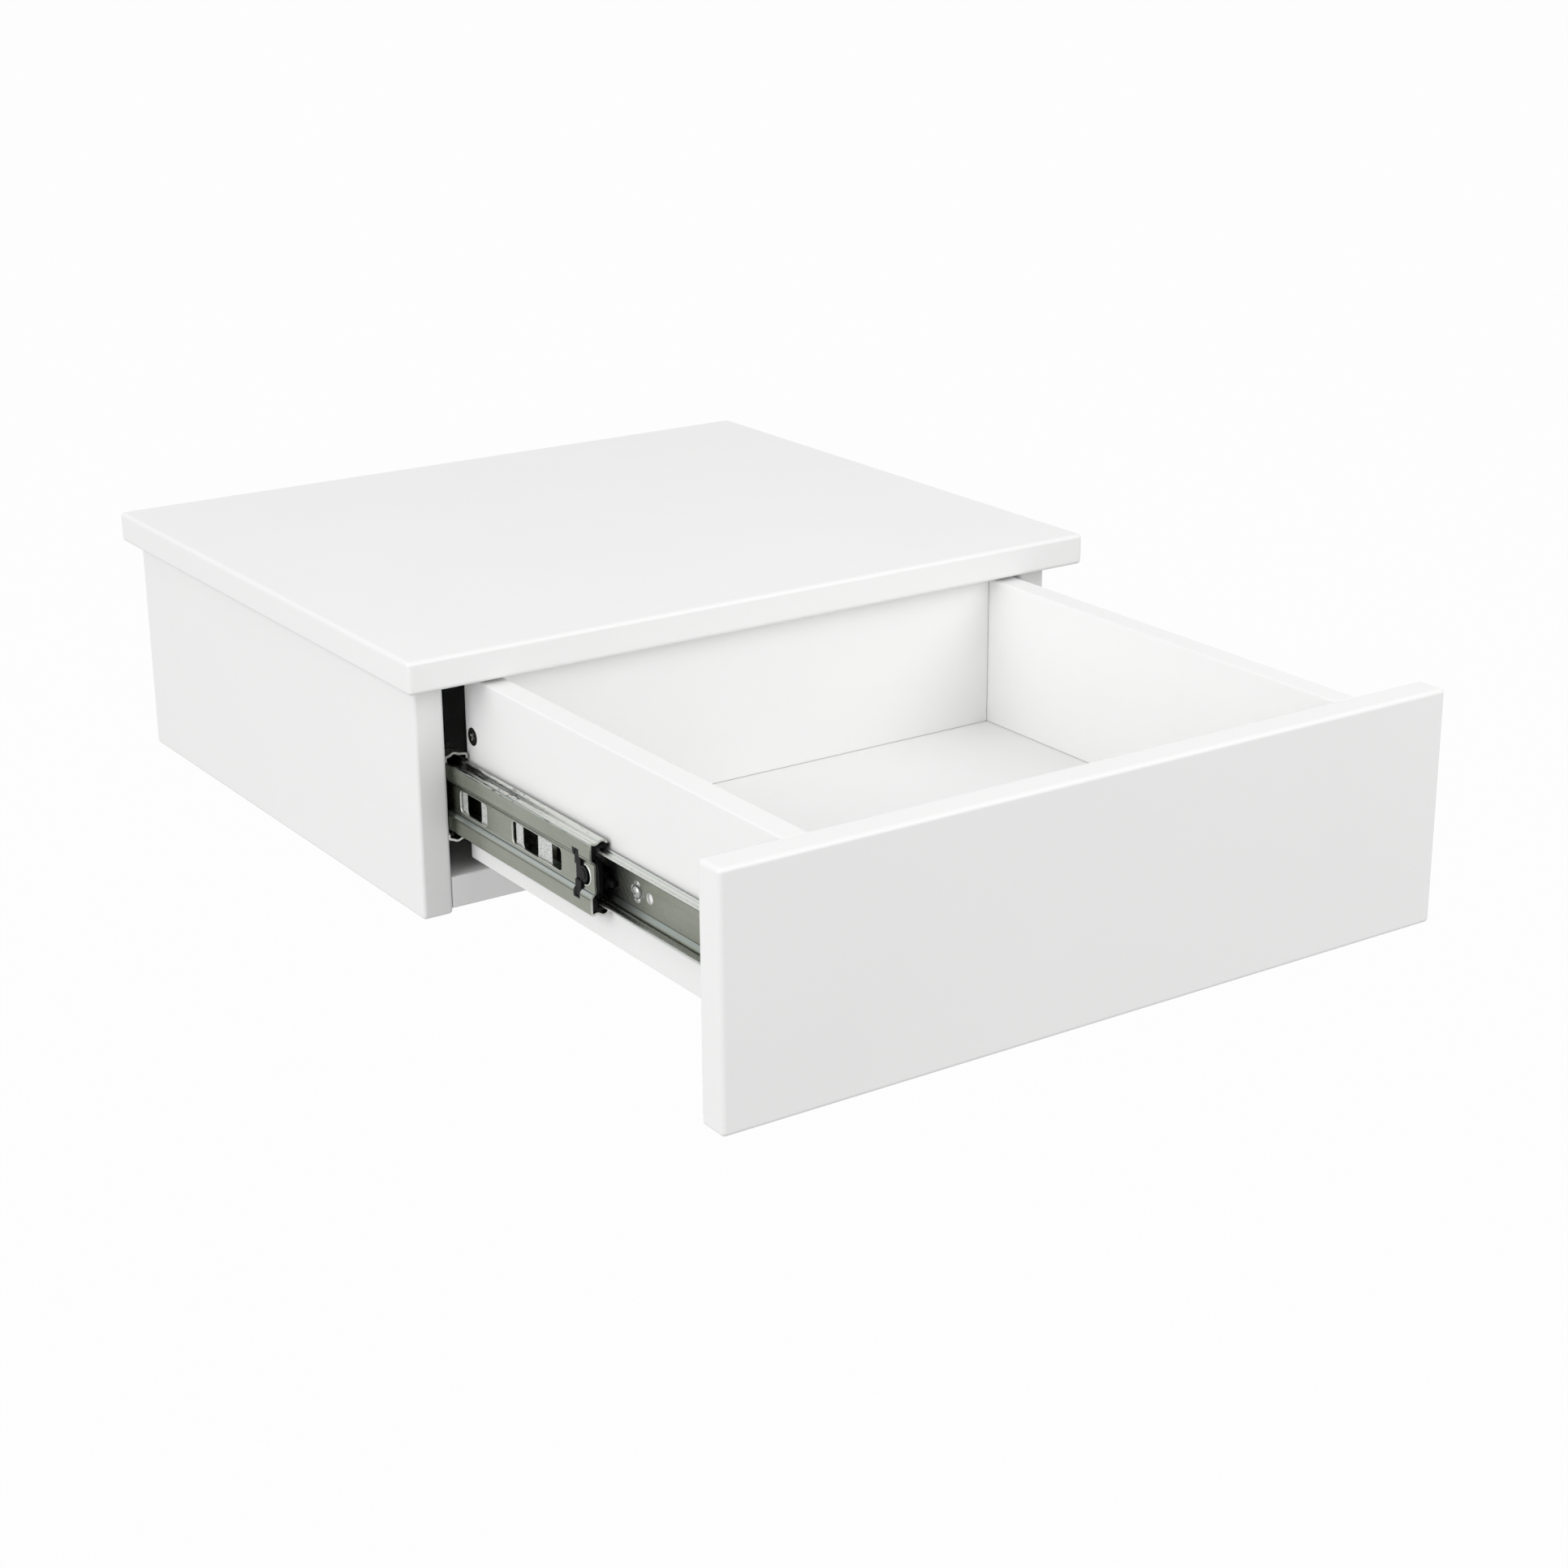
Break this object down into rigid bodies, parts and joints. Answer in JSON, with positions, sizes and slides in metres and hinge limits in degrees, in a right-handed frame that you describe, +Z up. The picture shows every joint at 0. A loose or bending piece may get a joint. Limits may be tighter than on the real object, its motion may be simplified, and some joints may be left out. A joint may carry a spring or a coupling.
{
  "type": "floating nightstand",
  "caption": "White wall-hung nightstand with an overhanging top and one open drawer that runs on full-extension ball-bearing slides.",
  "frame": {"origin": "centre of the rear face of the cabinet, which lies on the wall", "axes": "+X to the right seen from the front, +Y into the wall, +Z up; the drawer opens towards -Y"},
  "size_m": [0.37, 0.563, 0.126],
  "materials": {
    "lacquer": "wood-based board with a satin white lacquer on all faces and edges",
    "foil": "wood-based board wrapped in a matt white foil",
    "zinc_steel": "rolled steel sheet with a greenish zinc plating",
    "cage_steel": "thin galvanised steel strip",
    "black_plastic": "moulded black plastic",
    "nickel": "dull nickel-plated steel",
    "diecast_zinc": "die-cast zinc alloy",
    "beech": "plain fluted beech"
  },
  "bodies": {
    "cabinet": {"top_panel": "lacquer", "left_side_panel": "lacquer", "right_side_panel": "lacquer", "bottom_panel": "lacquer", "back_panel": "foil", "left_slide_cabinet_member": "zinc_steel", "right_slide_cabinet_member": "zinc_steel", "left_front_top_cam": "diecast_zinc", "left_rear_top_cam": "diecast_zinc", "right_front_top_cam": "diecast_zinc", "right_rear_top_cam": "diecast_zinc", "left_front_top_cam_bolt": "nickel", "left_rear_top_cam_bolt": "nickel", "right_front_top_cam_bolt": "nickel", "right_rear_top_cam_bolt": "nickel", "left_front_bottom_dowel": "beech", "left_rear_bottom_dowel": "beech", "right_front_bottom_dowel": "beech", "right_rear_bottom_dowel": "beech", "left_upper_back_dowel": "beech", "left_lower_back_dowel": "beech", "right_upper_back_dowel": "beech", "right_lower_back_dowel": "beech", "left_front_cabinet_slide_screw": "nickel", "left_rear_cabinet_slide_screw": "nickel", "right_front_cabinet_slide_screw": "nickel", "right_rear_cabinet_slide_screw": "nickel"},
    "drawer": {"drawer_front": "lacquer", "drawer_left_side": "foil", "drawer_right_side": "foil", "drawer_back": "foil", "drawer_floor": "foil", "left_slide_drawer_member": "zinc_steel", "right_slide_drawer_member": "zinc_steel", "left_slide_release_lever": "black_plastic", "right_slide_release_lever": "black_plastic", "left_drawer_front_cam": "diecast_zinc", "right_drawer_front_cam": "diecast_zinc", "left_drawer_front_cam_bolt": "nickel", "right_drawer_front_cam_bolt": "nickel", "left_upper_drawer_back_screw": "nickel", "left_lower_drawer_back_screw": "nickel", "right_upper_drawer_back_screw": "nickel", "right_lower_drawer_back_screw": "nickel", "left_front_drawer_slide_screw": "zinc_steel", "left_middle_drawer_slide_screw": "zinc_steel", "left_rear_drawer_slide_screw": "zinc_steel", "right_front_drawer_slide_screw": "zinc_steel", "right_middle_drawer_slide_screw": "zinc_steel", "right_rear_drawer_slide_screw": "zinc_steel"},
    "left_middle_slide": {"left_slide_middle_member": "zinc_steel", "left_slide_clip": "black_plastic"},
    "right_middle_slide": {"right_slide_middle_member": "zinc_steel", "right_slide_clip": "black_plastic"},
    "left_outer_cage": {"left_slide_outer_ball_cage": "cage_steel"},
    "right_outer_cage": {"right_slide_outer_ball_cage": "cage_steel"},
    "left_inner_cage": {"left_slide_inner_ball_cage": "cage_steel"},
    "right_inner_cage": {"right_slide_inner_ball_cage": "cage_steel"}
  },
  "joints": [
    {"name": "drawer_slide", "type": "slide", "parent": "cabinet", "child": "drawer", "axis": [0, -1, 0], "range_m": [-0.243, 0.007]},
    {"name": "left_middle_slide_run", "type": "slide", "parent": "cabinet", "child": "left_middle_slide", "axis": [0, -1, 0], "range_m": [-0.1215, 0.0035]},
    {"name": "right_middle_slide_run", "type": "slide", "parent": "cabinet", "child": "right_middle_slide", "axis": [0, -1, 0], "range_m": [-0.1215, 0.0035]},
    {"name": "left_outer_cage_run", "type": "slide", "parent": "cabinet", "child": "left_outer_cage", "axis": [0, -1, 0], "range_m": [-0.06075, 0.00175]},
    {"name": "right_outer_cage_run", "type": "slide", "parent": "cabinet", "child": "right_outer_cage", "axis": [0, -1, 0], "range_m": [-0.06075, 0.00175]},
    {"name": "left_inner_cage_run", "type": "slide", "parent": "cabinet", "child": "left_inner_cage", "axis": [0, -1, 0], "range_m": [-0.18225, 0.00525]},
    {"name": "right_inner_cage_run", "type": "slide", "parent": "cabinet", "child": "right_inner_cage", "axis": [0, -1, 0], "range_m": [-0.18225, 0.00525]}
  ],
  "couplings": [
    {"joint": "left_middle_slide_run", "follows": "drawer_slide", "ratio": 0.5},
    {"joint": "right_middle_slide_run", "follows": "drawer_slide", "ratio": 0.5},
    {"joint": "left_outer_cage_run", "follows": "drawer_slide", "ratio": 0.25},
    {"joint": "right_outer_cage_run", "follows": "drawer_slide", "ratio": 0.25},
    {"joint": "left_inner_cage_run", "follows": "drawer_slide", "ratio": 0.75},
    {"joint": "right_inner_cage_run", "follows": "drawer_slide", "ratio": 0.75}
  ]
}
